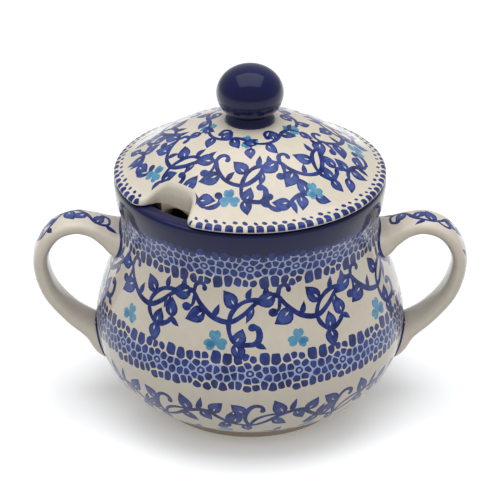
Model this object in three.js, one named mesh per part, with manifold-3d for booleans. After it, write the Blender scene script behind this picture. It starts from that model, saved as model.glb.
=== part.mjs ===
// Two-handled sugar bowl in glazed stoneware, with a lift-off lid that is notched for a spoon.
//
// Units are millimetres and +Z is up. The origin is the centre of the foot ring's rest face.
// The handles lie in the XZ plane, one on each side. The front of the bowl faces -Y, and the
// spoon notch is in the lid's front left, between -X and -Y.

import * as THREE from 'three';
import { mergeVertices } from 'three/addons/utils/BufferGeometryUtils.js';
import Module from 'manifold-3d';

const wasm = await Module();
wasm.setup();

// ---------------------------------------------------------------- driving dimensions

const GAP = 0.3; // clearance between pieces that touch
const TURN_STEPS = 48; // facets round the bowl and the lid
const KNOB_STEPS = 24; // facets round the knob

const WALL = 4.2; // thickness of the thrown wall
const FOOT_HEIGHT = 3.8;
const FOOT_TOP_RADIUS = 36.3;
const REST_OUTER_RADIUS = 33.4;
const REST_INNER_RADIUS = 29.2;
const FOOT_EDGE = 0.8; // rounding at the outer edge of the rest face
const FOOT_RECESS = 1.8; // height of the underside above the rest face
const FLOOR_HEIGHT = 6.4; // inside floor above the rest face
const FLOOR_RADIUS = 28;

const BELLY_RADIUS = 53.6;
const BELLY_HEIGHT = 32;
const NECK_RADIUS = 44.3;
const NECK_HEIGHT = 69.5;

const COLLAR_RADIUS = 46.5;
const COLLAR_TOP = 85.4;
const COLLAR_ROUNDING = 1.3;
const MOUTH_RADIUS = 40.5;

const LID_RADIUS = 46.5;
const LID_SEAT = COLLAR_TOP + GAP;
const LID_EDGE_RADIUS = 0.9; // rounding of the lid's rim
const LID_WALL = 4.2;
const LID_TOP = 105.6;
const KNOB_PAD_RADIUS = 9; // flat top of the dome, under the knob
const FLANGE_OUTER_RADIUS = 38;
const FLANGE_INNER_RADIUS = 34;
const FLANGE_BOTTOM = 78.6;

const NOTCH_AZIMUTH = -130.8; // degrees from +X, so 49.2 degrees short of -X
const NOTCH_BACK = 36.1; // distance of the notch's back wall from the bowl's axis
const NOTCH_HALF_BACK = 3.8;
const NOTCH_HALF_THROAT = 8.3;
const NOTCH_HALF_MOUTH = 12.4;
const ARCH_RADIUS = 6.5; // spoon arch in the locating flange

const KNOB_BASE_RADIUS = 8.3;
const KNOB_WAIST_RADIUS = 7.3;
const KNOB_BALL_RADIUS = 11.5;
const KNOB_BALL_HALF_HEIGHT = 9.7;
const KNOB_BALL_HEIGHT = 115.5;

const STRAP_STEPS = 24; // sections along a handle
const STRAP_SIDES = 14; // points round a section
const STRAP_SQUARENESS = 2.5; // 2 would be a plain ellipse

// Sections of the right handle from the upper root to the lower one: the section's centre,
// half its width across the strap, and half its thickness in the plane of the handle.
const STRAP_SECTIONS = [
  { x: 38.0, z: 59.8, halfWidth: 12.2, halfThickness: 7.2 },
  { x: 44.8, z: 60.8, halfWidth: 11.0, halfThickness: 5.6 },
  { x: 49.4, z: 63.2, halfWidth: 8.8, halfThickness: 3.9 },
  { x: 54.4, z: 65.6, halfWidth: 7.3, halfThickness: 2.95 },
  { x: 60.4, z: 66.5, halfWidth: 6.9, halfThickness: 2.8 },
  { x: 66.8, z: 63.9, halfWidth: 6.7, halfThickness: 2.75 },
  { x: 71.2, z: 57.8, halfWidth: 6.7, halfThickness: 2.75 },
  { x: 72.2, z: 50.4, halfWidth: 6.8, halfThickness: 2.8 },
  { x: 69.3, z: 40.8, halfWidth: 7.0, halfThickness: 2.8 },
  { x: 62.6, z: 32.3, halfWidth: 7.2, halfThickness: 2.85 },
  { x: 55.4, z: 26.6, halfWidth: 8.4, halfThickness: 3.4 },
  { x: 49.8, z: 22.6, halfWidth: 11.2, halfThickness: 5.8 },
  { x: 42.0, z: 21.4, halfWidth: 12.8, halfThickness: 7.4 },
];

// ---------------------------------------------------------------- materials

function glaze(red, green, blue, roughness) {
  const color = new THREE.Color().setRGB(red, green, blue, THREE.SRGBColorSpace);
  return new THREE.MeshStandardMaterial({ color, roughness, metalness: 0 });
}

const BODY_GLAZE = glaze(0.62, 0.64, 0.72, 0.22);
const HANDLE_GLAZE = glaze(0.84, 0.81, 0.77, 0.22);
const LID_GLAZE = glaze(0.66, 0.68, 0.76, 0.2);
const KNOB_GLAZE = glaze(0.11, 0.12, 0.33, 0.15);

// ---------------------------------------------------------------- solids and booleans

// A closed mesh as a manifold solid. Only the positions are kept, so shared corners merge.
function toSolid(geometry) {
  const bare = geometry.clone();
  bare.deleteAttribute('normal');
  bare.deleteAttribute('uv');
  const merged = mergeVertices(bare, 1e-4);
  const vertProperties = new Float32Array(merged.attributes.position.array);
  const triVerts = new Uint32Array(merged.index.array);
  return new wasm.Manifold(new wasm.Mesh({ numProp: 3, vertProperties, triVerts }));
}

function toGeometry(solid) {
  const mesh = solid.getMesh();
  const geometry = new THREE.BufferGeometry();
  geometry.setAttribute('position', new THREE.BufferAttribute(mesh.vertProperties, 3));
  geometry.setIndex(new THREE.BufferAttribute(mesh.triVerts, 1));
  geometry.computeVertexNormals();
  return geometry;
}

// A body of revolution about +Z from [radius, height] points that start and end on the axis.
function turned(profile, steps) {
  const geometry = new THREE.LatheGeometry(profile, steps);
  geometry.rotateX(Math.PI / 2);
  return geometry;
}

// Points on a round corner: centre, radius, and the angles of its two ends in degrees.
function corner(centreRadius, centreHeight, radius, startAngle, endAngle, steps) {
  const points = [];
  for (let step = 0; step <= steps; step += 1) {
    const angle = THREE.MathUtils.degToRad(startAngle + ((endAngle - startAngle) * step) / steps);
    const across = centreRadius + radius * Math.cos(angle);
    points.push(new THREE.Vector2(across, centreHeight + radius * Math.sin(angle)));
  }
  return points;
}

// ---------------------------------------------------------------- bowl body

// The outside of the pot from the top of the foot, round the belly and neck, to the collar.
const potOutside = new THREE.SplineCurve([
  new THREE.Vector2(FOOT_TOP_RADIUS, FOOT_HEIGHT),
  new THREE.Vector2(45.7, 11.0),
  new THREE.Vector2(52.0, 21.5),
  new THREE.Vector2(BELLY_RADIUS, BELLY_HEIGHT),
  new THREE.Vector2(51.6, 43.5),
  new THREE.Vector2(47.4, 56.0),
  new THREE.Vector2(44.9, 64.0),
  new THREE.Vector2(NECK_RADIUS, NECK_HEIGHT),
  new THREE.Vector2(44.9, 73.6),
  new THREE.Vector2(45.9, 76.8),
  new THREE.Vector2(COLLAR_RADIUS, 81.2),
]);

const POT_SAMPLES = 19;

// The pot's outside, moved along its normal by a distance that is positive outwards.
function potOffset(distance, firstShare, lastShare, steps) {
  const points = [];
  for (let step = 0; step <= steps; step += 1) {
    const share = firstShare + ((lastShare - firstShare) * step) / steps;
    const point = potOutside.getPoint(share);
    const tangent = potOutside.getTangent(share);
    points.push(new THREE.Vector2(point.x + tangent.y * distance, point.y - tangent.x * distance));
  }
  return points;
}

function bowlBody() {
  const mouthCorner = 1;
  const insideTopShare = 0.68; // the inside follows the outside up to just below the neck
  const profile = [
    new THREE.Vector2(0, FOOT_RECESS),
    new THREE.Vector2(REST_INNER_RADIUS - FOOT_RECESS / 2, FOOT_RECESS),
    new THREE.Vector2(REST_INNER_RADIUS, 0),
    ...corner(REST_OUTER_RADIUS - FOOT_EDGE, FOOT_EDGE, FOOT_EDGE, -90, -20, 3),
    ...potOffset(0, 0, 1, POT_SAMPLES),
    ...corner(COLLAR_RADIUS - COLLAR_ROUNDING, COLLAR_TOP - COLLAR_ROUNDING, COLLAR_ROUNDING, 0, 90, 3),
    ...corner(MOUTH_RADIUS + mouthCorner, COLLAR_TOP - mouthCorner, mouthCorner, 90, 180, 2),
    new THREE.Vector2(MOUTH_RADIUS, NECK_HEIGHT),
    ...potOffset(-WALL, 0.02, insideTopShare, 9).reverse(),
    new THREE.Vector2(FLOOR_RADIUS, FLOOR_HEIGHT),
    new THREE.Vector2(0, FLOOR_HEIGHT),
  ];
  return turned(profile, TURN_STEPS);
}

// Everything inside the pot's outer skin, a little oversize, for trimming the handle roots.
function potEnvelope() {
  const profile = [
    new THREE.Vector2(0, 0),
    ...potOffset(GAP, 0, 1, POT_SAMPLES),
    new THREE.Vector2(COLLAR_RADIUS + GAP, COLLAR_TOP),
    new THREE.Vector2(0, COLLAR_TOP),
  ];
  return toSolid(turned(profile, TURN_STEPS));
}

// ---------------------------------------------------------------- handles

// A pulled strap handle: flattened sections swept along the curve, flared at both roots.
function strapHandle() {
  const centres = STRAP_SECTIONS.map((section) => new THREE.Vector3(section.x, 0, section.z));
  const sizes = STRAP_SECTIONS.map((s) => new THREE.Vector3(s.halfWidth, s.halfThickness, 0));
  const centreLine = new THREE.CatmullRomCurve3(centres, false, 'centripetal');
  const sizeLine = new THREE.CatmullRomCurve3(sizes, false, 'centripetal');
  const positions = [];
  for (let step = 0; step <= STRAP_STEPS; step += 1) {
    const share = step / STRAP_STEPS;
    const centre = centreLine.getPoint(share);
    const tangent = centreLine.getTangent(share);
    const size = sizeLine.getPoint(share);
    const outward = new THREE.Vector3(-tangent.z, 0, tangent.x);
    for (let side = 0; side < STRAP_SIDES; side += 1) {
      const angle = (2 * Math.PI * side) / STRAP_SIDES;
      const cosine = Math.cos(angle);
      const sine = Math.sin(angle);
      const power = 2 / STRAP_SQUARENESS;
      const across = size.x * Math.sign(cosine) * Math.abs(cosine) ** power;
      const through = size.y * Math.sign(sine) * Math.abs(sine) ** power;
      positions.push(centre.x + outward.x * through, across, centre.z + outward.z * through);
    }
  }
  const lastRing = STRAP_STEPS * STRAP_SIDES;
  const indices = [];
  for (let step = 0; step < STRAP_STEPS; step += 1) {
    for (let side = 0; side < STRAP_SIDES; side += 1) {
      const a = step * STRAP_SIDES + side;
      const b = step * STRAP_SIDES + ((side + 1) % STRAP_SIDES);
      indices.push(a, b, a + STRAP_SIDES);
      indices.push(b, b + STRAP_SIDES, a + STRAP_SIDES);
    }
  }
  for (let side = 1; side < STRAP_SIDES - 1; side += 1) {
    indices.push(0, side + 1, side);
    indices.push(lastRing, lastRing + side, lastRing + side + 1);
  }
  const geometry = new THREE.BufferGeometry();
  geometry.setAttribute('position', new THREE.Float32BufferAttribute(positions, 3));
  geometry.setIndex(indices);
  return toSolid(geometry);
}

// ---------------------------------------------------------------- lid

// The outside of the dome from the rim's upper edge to the flat pad under the knob.
const domeOutside = new THREE.SplineCurve([
  new THREE.Vector2(46.0, 87.3),
  new THREE.Vector2(42.6, 88.7),
  new THREE.Vector2(37.6, 92.0),
  new THREE.Vector2(31.0, 96.5),
  new THREE.Vector2(23.5, 100.6),
  new THREE.Vector2(15.5, 103.6),
  new THREE.Vector2(KNOB_PAD_RADIUS, LID_TOP),
]);

function domeUnderside() {
  const points = [];
  const steps = 6;
  const flangeShare = 0.42; // where the underside leaves the flange
  for (let step = 0; step <= steps; step += 1) {
    const share = flangeShare + ((0.94 - flangeShare) * step) / steps;
    const point = domeOutside.getPoint(share);
    const tangent = domeOutside.getTangent(share);
    points.push(new THREE.Vector2(point.x - tangent.y * LID_WALL, point.y + tangent.x * LID_WALL));
  }
  return points.reverse();
}

function lidBlank() {
  const ceiling = LID_TOP - LID_WALL - 0.6;
  const edgeCentre = LID_RADIUS - LID_EDGE_RADIUS;
  const profile = [
    new THREE.Vector2(0, ceiling),
    ...domeUnderside(),
    new THREE.Vector2(FLANGE_INNER_RADIUS, FLANGE_BOTTOM + 0.8),
    new THREE.Vector2(FLANGE_INNER_RADIUS + 0.8, FLANGE_BOTTOM),
    new THREE.Vector2(FLANGE_OUTER_RADIUS - 0.8, FLANGE_BOTTOM),
    new THREE.Vector2(FLANGE_OUTER_RADIUS, FLANGE_BOTTOM + 0.8),
    new THREE.Vector2(FLANGE_OUTER_RADIUS, LID_SEAT),
    ...corner(edgeCentre, LID_SEAT + LID_EDGE_RADIUS, LID_EDGE_RADIUS, -90, 40, 4),
    ...domeOutside.getPoints(10),
    new THREE.Vector2(0, LID_TOP),
  ];
  return toSolid(turned(profile, TURN_STEPS));
}

// A bell-shaped outline open towards the rim, cut straight down through the rim and flange.
function notchCutter() {
  const outline = new THREE.Shape();
  const beyondRim = LID_RADIUS + 3;
  const throat = NOTCH_BACK + 3.6;
  outline.moveTo(beyondRim, -NOTCH_HALF_MOUTH);
  outline.bezierCurveTo(43.6, -9.6, 42.4, -9.6, throat, -NOTCH_HALF_THROAT);
  outline.quadraticCurveTo(NOTCH_BACK, -NOTCH_HALF_THROAT + 1.4, NOTCH_BACK, -NOTCH_HALF_BACK);
  outline.lineTo(NOTCH_BACK, NOTCH_HALF_BACK);
  outline.quadraticCurveTo(NOTCH_BACK, NOTCH_HALF_THROAT - 1.4, throat, NOTCH_HALF_THROAT);
  outline.bezierCurveTo(42.4, 9.6, 43.6, 9.6, beyondRim, NOTCH_HALF_MOUTH);
  outline.closePath();
  const depth = LID_TOP - FLANGE_BOTTOM + 2;
  const geometry = new THREE.ExtrudeGeometry(outline, { depth, bevelEnabled: false, curveSegments: 8 });
  geometry.translate(0, 0, FLANGE_BOTTOM - 1);
  geometry.rotateZ(THREE.MathUtils.degToRad(NOTCH_AZIMUTH));
  return toSolid(geometry);
}

// A round arch through the flange behind the notch, where the spoon's handle passes.
function archCutter() {
  const outline = new THREE.Shape();
  outline.moveTo(-ARCH_RADIUS, -2);
  outline.lineTo(ARCH_RADIUS, -2);
  outline.absarc(0, 0, ARCH_RADIUS, 0, Math.PI, false);
  outline.closePath();
  const depth = FLANGE_OUTER_RADIUS - FLANGE_INNER_RADIUS + 6;
  const geometry = new THREE.ExtrudeGeometry(outline, { depth, bevelEnabled: false, curveSegments: 7 });
  geometry.rotateX(Math.PI / 2);
  geometry.rotateZ(Math.PI / 2);
  geometry.translate(FLANGE_INNER_RADIUS - 4, 0, FLANGE_BOTTOM);
  geometry.rotateZ(THREE.MathUtils.degToRad(NOTCH_AZIMUTH));
  return toSolid(geometry);
}

function lid() {
  return toGeometry(lidBlank().subtract(notchCutter()).subtract(archCutter()));
}

function knob() {
  const base = LID_TOP + GAP;
  const waistHeight = base + 2.6;
  const ballStart = -52; // angle on the ball where it leaves the waist
  const profile = [
    new THREE.Vector2(0, base),
    new THREE.Vector2(KNOB_BASE_RADIUS - 0.4, base),
    new THREE.Vector2(KNOB_BASE_RADIUS, base + 0.7),
    new THREE.Vector2(KNOB_BASE_RADIUS - 0.4, base + 1.5),
    new THREE.Vector2(KNOB_WAIST_RADIUS, waistHeight - 0.6),
  ];
  const ballSteps = 12;
  for (let step = 0; step <= ballSteps; step += 1) {
    const angle = THREE.MathUtils.degToRad(ballStart + ((90 - ballStart) * step) / ballSteps);
    const radius = step === ballSteps ? 0 : KNOB_BALL_RADIUS * Math.cos(angle);
    const height = KNOB_BALL_HEIGHT + KNOB_BALL_HALF_HEIGHT * Math.sin(angle);
    profile.push(new THREE.Vector2(radius, height));
  }
  return turned(profile, KNOB_STEPS);
}

// ---------------------------------------------------------------- assembly

function piece(name, geometry, material) {
  const mesh = new THREE.Mesh(geometry, material);
  mesh.name = name;
  return mesh;
}

const bowl = new THREE.Group();
bowl.add(piece('bowl_body', bowlBody(), BODY_GLAZE));

const rightHandle = toGeometry(strapHandle().subtract(potEnvelope()));
const leftHandle = rightHandle.clone().rotateZ(Math.PI);
bowl.add(piece('handle_right', rightHandle, HANDLE_GLAZE));
bowl.add(piece('handle_left', leftHandle, HANDLE_GLAZE));

const cover = new THREE.Group();
cover.add(piece('lid', lid(), LID_GLAZE));
cover.add(piece('lid_knob', knob(), KNOB_GLAZE));

const sugarBowl = new THREE.Group();
sugarBowl.add(bowl);
sugarBowl.add(cover);

export default sugarBowl;
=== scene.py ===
import math
import random

import bmesh
import bpy
import numpy as np
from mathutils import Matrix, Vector
from mathutils.geometry import delaunay_2d_cdt


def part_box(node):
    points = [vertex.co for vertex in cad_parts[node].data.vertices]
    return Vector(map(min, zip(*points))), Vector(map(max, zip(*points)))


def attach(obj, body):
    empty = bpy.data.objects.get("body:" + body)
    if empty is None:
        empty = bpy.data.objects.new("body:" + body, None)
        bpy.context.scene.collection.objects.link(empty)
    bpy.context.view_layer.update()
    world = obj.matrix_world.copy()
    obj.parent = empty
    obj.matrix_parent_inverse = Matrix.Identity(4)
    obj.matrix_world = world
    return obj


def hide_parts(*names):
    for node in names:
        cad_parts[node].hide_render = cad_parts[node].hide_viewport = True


# Two-handled sugar bowl in glazed stoneware with a painted cobalt decoration, and its notched lid.
#
# The drawing units are millimetres, and every mesh is turned into metres as it is made.
# +Z is up, the handles lie along X and the front faces -Y.

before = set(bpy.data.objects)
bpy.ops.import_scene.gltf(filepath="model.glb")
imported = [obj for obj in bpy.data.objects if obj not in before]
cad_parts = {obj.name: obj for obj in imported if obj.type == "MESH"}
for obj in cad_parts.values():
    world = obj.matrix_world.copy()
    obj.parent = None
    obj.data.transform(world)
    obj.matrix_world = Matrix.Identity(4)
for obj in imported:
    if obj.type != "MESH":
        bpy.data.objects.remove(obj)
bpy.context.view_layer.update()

# ---------------------------------------------------------------- dimensions

MM = 0.001


def heights(node):
    """The lowest and highest height of a CAD node, in millimetres."""
    low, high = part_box(node)
    return low[2] / MM, high[2] / MM


FLANGE_BOTTOM, LID_TOP = heights("lid")
COLLAR_TOP = heights("bowl_body")[1]
KNOB_TOP = heights("lid_knob")[1]

RING_STEPS = 144  # points round the pot
GRID = 2.2  # spacing of the surface points between the painted outlines

WALL = 4.2
FOOT_EDGE = 0.8
REST_OUTER_RADIUS = 33.4
REST_INNER_RADIUS = 29.2
FOOT_RECESS = 1.8
FLOOR_HEIGHT = 6.4
FLOOR_RADIUS = 28.0
COLLAR_RADIUS = 46.5
COLLAR_ROUNDING = 1.3
MOUTH_RADIUS = 40.5
MOUTH_ROUNDING = 1.0

# The pot's outside from the top of the foot to the side of the collar: radius, height.
POT_OUTSIDE = [
    (36.3, 3.8),
    (45.7, 11.0),
    (52.0, 21.5),
    (53.6, 32.0),
    (51.6, 43.5),
    (47.4, 56.0),
    (44.9, 64.0),
    (44.3, 69.5),
    (44.9, 73.6),
    (45.9, 76.8),
    (COLLAR_RADIUS, 81.2),
]

LID_RADIUS = COLLAR_RADIUS
LID_SEAT = COLLAR_TOP + 0.3
LID_EDGE = 0.9  # rounding of the lid's upper edge
LID_FOOT_EDGE = 0.45  # rounding where the rim meets the seat
LID_CEILING = 101.2  # height of the hollow under the knob
FLANGE_OUTER = 38.0
FLANGE_INNER = 34.0
FLANGE_EDGE = 0.8

# The dome's outside, from beyond the rim to the flat pad under the knob: radius, height.
DOME_OUTSIDE = [
    (47.6, 86.7),
    (46.0, 87.3),
    (42.6, 88.7),
    (37.6, 92.0),
    (31.0, 96.5),
    (23.5, 100.6),
    (15.5, 103.6),
    (9.0, LID_TOP),
    (4.0, LID_TOP),
    (0.0, LID_TOP),
]

NOTCH_AZIMUTH = math.radians(-130.8)
NOTCH_BACK = 36.1
NOTCH_THROAT = 39.7
ARCH_RADIUS = 6.5

KNOB_BASE = LID_TOP - 0.1
KNOB_BALL = 11.5
KNOB_HALF_HEIGHT = 9.7

# The right handle from its upper root to its lower one: centre x and z, half width, half thickness.
STRAP_SECTIONS = [
    (38.0, 59.8, 12.2, 7.2),
    (44.8, 60.8, 11.0, 5.6),
    (49.4, 63.2, 8.8, 3.9),
    (54.4, 65.6, 7.3, 2.95),
    (60.4, 66.5, 6.9, 2.8),
    (66.8, 63.9, 6.7, 2.75),
    (71.2, 57.8, 6.7, 2.75),
    (72.2, 50.4, 6.8, 2.8),
    (69.3, 40.8, 7.0, 2.8),
    (62.6, 32.3, 7.2, 2.85),
    (55.4, 26.6, 8.4, 3.4),
    (49.8, 22.6, 11.2, 5.8),
    (42.0, 21.4, 12.8, 7.4),
]
STRAP_SQUARENESS = 2.5
ROOT_LINE = 1.5  # width on the pot of the brush line round a handle's root
ROOT_LINE_ON_STRAP = 0.55  # how far the same line runs up the handle's sides

# ---------------------------------------------------------------- outlines


def smooth(points, steps=12):
    """A smooth line through the points."""
    knots = np.array(points, float)
    padded = np.vstack([knots[0], knots, knots[-1]])
    line = []
    for before, start, end, after in zip(padded, padded[1:], padded[2:], padded[3:]):
        leave, arrive = (end - before) / 2.0, (after - start) / 2.0
        for step in range(steps):
            t = step / steps
            cubic = (2.0 * (start - end) + leave + arrive) * t**3
            square = (3.0 * (end - start) - 2.0 * leave - arrive) * t**2
            line.append(cubic + square + leave * t + start)
    line.append(knots[-1])
    return np.array(line)


def arc(centre, radius, start, end, steps=6):
    """Points on a circle between two angles in degrees."""
    angles = np.radians(np.linspace(start, end, steps + 1))
    return np.column_stack([centre[0] + radius * np.cos(angles), centre[1] + radius * np.sin(angles)])


def beside(line, distance):
    """The line moved to its right by a distance."""
    ahead = np.gradient(line, axis=0)
    ahead /= np.linalg.norm(ahead, axis=1)[:, None]
    return line + np.column_stack([ahead[:, 1], -ahead[:, 0]]) * distance


def bezier(corners, steps):
    """A quadratic or cubic curve from its control points, with both of its ends."""
    t = np.linspace(0.0, 1.0, steps + 1)[:, None]
    layers = [np.array(corner, float)[None, :] + 0.0 * t for corner in corners]
    while len(layers) > 1:
        layers = [a * (1.0 - t) + b * t for a, b in zip(layers, layers[1:])]
    return layers[0]


# ---------------------------------------------------------------- closed surfaces


class Surface:
    """The points, faces and paints of one closed piece, in millimetres."""

    def __init__(self):
        self.points = []
        self.normals = []
        self.faces = []
        self.paints = []

    def add(self, points, normals=None):
        """Adds points and returns their numbers. A point without a normal gets one from its faces."""
        first = len(self.points)
        self.points.extend(np.asarray(points, float).tolist())
        if normals is None:
            normals = np.zeros((len(points), 3))
        self.normals.extend(np.asarray(normals, float).tolist())
        return list(range(first, len(self.points)))

    def strip(self, ring, other, paints):
        """Joins two closed rings with the same number of points. Paints is one, or one per face."""
        count = len(ring)
        several = paints if isinstance(paints, list) else [paints] * count
        for number in range(count):
            after = (number + 1) % count
            self.faces.append((ring[number], ring[after], other[after], other[number]))
            self.paints.append(several[number])

    def lathe(self, ring, outline, angles, paint):
        """Goes on from a ring along an outline of (radius, height), which closes if it meets the axis."""
        for radius, height in outline:
            if radius < 1e-6:
                tip = self.add([(0.0, 0.0, height)])[0]
                for number in range(len(ring)):
                    self.faces.append((ring[number], ring[(number + 1) % len(ring)], tip))
                    self.paints.append(paint)
                return []
            circle = np.column_stack(
                [radius * np.cos(angles), radius * np.sin(angles), np.full(len(angles), height)]
            )
            following = self.add(circle)
            self.strip(ring, following, paint)
            ring = following
        return ring

    def turns(self, ring):
        """The angles round Z of a ring's points."""
        return np.array([math.atan2(self.points[number][1], self.points[number][0]) for number in ring])

    def piece(self, name, materials, turned=0.0):
        """The closed mesh as a Blender object, turned round Z by an angle."""
        mesh = bpy.data.meshes.new(name)
        points = np.array(self.points)
        normals = np.array(self.normals)
        cosine, sine = math.cos(turned), math.sin(turned)
        turn = np.array([[cosine, -sine, 0.0], [sine, cosine, 0.0], [0.0, 0.0, 1.0]])
        mesh.from_pydata((points @ turn.T * MM).tolist(), [], self.faces)
        order = list(materials)
        for paint in order:
            mesh.materials.append(materials[paint])
        slots = [order.index(paint) for paint in self.paints]
        mesh.polygons.foreach_set("material_index", slots)
        built = bmesh.new()
        built.from_mesh(mesh)
        bmesh.ops.recalc_face_normals(built, faces=built.faces)
        open_edges = sum(1 for edge in built.edges if len(edge.link_faces) != 2)
        built.to_mesh(mesh)
        built.free()
        mesh.polygons.foreach_set("use_smooth", [True] * len(mesh.polygons))
        mesh.normals_split_custom_set_from_vertices((normals @ turn.T).tolist())
        print(f"{name}: {len(mesh.polygons)} faces, {open_edges} edges not closed")
        item = bpy.data.objects.new(name, mesh)
        bpy.context.scene.collection.objects.link(item)
        return item


class Turned:
    """A surface of revolution with a flat chart: a ring that keeps every small shape's proportions."""

    CORE = 10.0  # radius of the chart's inner circle

    def __init__(self, outline):
        steps = np.linalg.norm(np.diff(outline, axis=0), axis=1)
        self.outline = outline[np.concatenate([[True], steps > 1e-6])]
        lengths = np.linalg.norm(np.diff(self.outline, axis=0), axis=1)
        middles = (self.outline[1:, 0] + self.outline[:-1, 0]) / 2.0
        self.along = np.concatenate([[0.0], np.cumsum(lengths)])
        self.ratio = np.concatenate([[0.0], np.cumsum(lengths / middles)])
        ahead = np.gradient(self.outline, self.along, axis=0)
        ahead /= np.linalg.norm(ahead, axis=1)[:, None]
        self.outward = np.column_stack([ahead[:, 1], -ahead[:, 0]])

    def height(self, z):
        """How far along the outline a height is."""
        return float(np.interp(z, self.outline[:, 1], self.along))

    def chart(self, turn, along):
        """The chart's point for a turn round the axis and a distance along the outline."""
        reach = self.CORE * np.exp(np.interp(along, self.along, self.ratio))
        return np.column_stack([reach * np.cos(turn), reach * np.sin(turn)])

    def surface(self, flat):
        """Points and outward normals for points of the chart."""
        turn = np.arctan2(flat[:, 1], flat[:, 0])
        ratio = np.log(np.hypot(flat[:, 0], flat[:, 1]) / self.CORE)
        radius = np.interp(ratio, self.ratio, self.outline[:, 0])
        height = np.interp(ratio, self.ratio, self.outline[:, 1])
        out = np.interp(ratio, self.ratio, self.outward[:, 0])
        up = np.interp(ratio, self.ratio, self.outward[:, 1])
        points = np.column_stack([radius * np.cos(turn), radius * np.sin(turn), height])
        normals = np.column_stack([out * np.cos(turn), out * np.sin(turn), up])
        return points, normals

    def ring(self, turns, along):
        """A level circle on the chart."""
        return self.chart(turns, np.full(len(turns), along))


def heading_samples(line):
    """(x, y, angle) samples along a line of points."""
    ahead = np.gradient(line, axis=0)
    return [(x, y, math.atan2(dy, dx)) for (x, y), (dx, dy) in zip(line, ahead)]


def anticlockwise(outline):
    """The outline, reversed if it runs clockwise."""
    x, y = outline[:, 0], outline[:, 1]
    area = np.sum(x * np.roll(y, -1) - np.roll(x, -1) * y)
    return outline if area > 0.0 else outline[::-1]


def painted(shapes, loose):
    """Cuts the first outline's inside into triangles along every outline.

    Shapes is a list of (outline, paint). A later one covers an earlier one, and the paint None cuts a
    hole. Loose points only make the triangles small enough. Returns the points, the triangles and
    their paints.
    """
    points = []
    faces = []
    for outline, _ in shapes:
        first = len(points)
        points.extend(Vector(point) for point in anticlockwise(outline))
        faces.append(list(range(first, len(points))))
    points.extend(Vector(point) for point in loose)
    flat, _, triangles, _, _, owners = delaunay_2d_cdt(points, [], faces, 0, 1e-4, True)
    kept = []
    paints = []
    for triangle, owner in zip(triangles, owners):
        if 0 in owner and shapes[max(owner)][1] is not None:
            kept.append(triangle)
            paints.append(shapes[max(owner)][1])
    used = sorted({corner for triangle in kept for corner in triangle})
    renumber = {number: order for order, number in enumerate(used)}
    flat = np.array([tuple(flat[number]) for number in used])
    return flat, [tuple(renumber[corner] for corner in triangle) for triangle in kept], paints


def edge_loops(triangles, paints):
    """The open edges of a set of triangles as loops: points in order, and the paint beside each edge."""
    beside_edge = {}
    for triangle, paint in zip(triangles, paints):
        for here, there in zip(triangle, triangle[1:] + triangle[:1]):
            beside_edge[(here, there)] = paint
    ahead = {}
    for (here, there), paint in beside_edge.items():
        if (there, here) not in beside_edge:
            ahead[here] = (there, paint)
    loops = []
    while ahead:
        here = next(iter(ahead))
        loop, edge_paints = [], []
        while here in ahead:
            loop.append(here)
            here, paint = ahead.pop(here)
            edge_paints.append(paint)
        loops.append((loop, edge_paints))
    return loops


# ---------------------------------------------------------------- brush

CREAM = "cream"
CLAY = "clay"
COLLAR = "collar"
COBALT = "cobalt"
SOFT_COBALT = "soft_cobalt"
SKY = "sky"
DEEP_SKY = "deep_sky"
WASH = "wash"
STROKE_STEP = 1.0
SLIM_LEAF = 2.3  # a leaf narrower than this is one dark touch of the brush
LEAF_BORDER = 0.55  # width of a wider leaf's dark edge
CLOVER_LOBES = (0.0, 122.0, -116.0)  # where a clover's lobes point, in degrees


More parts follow.
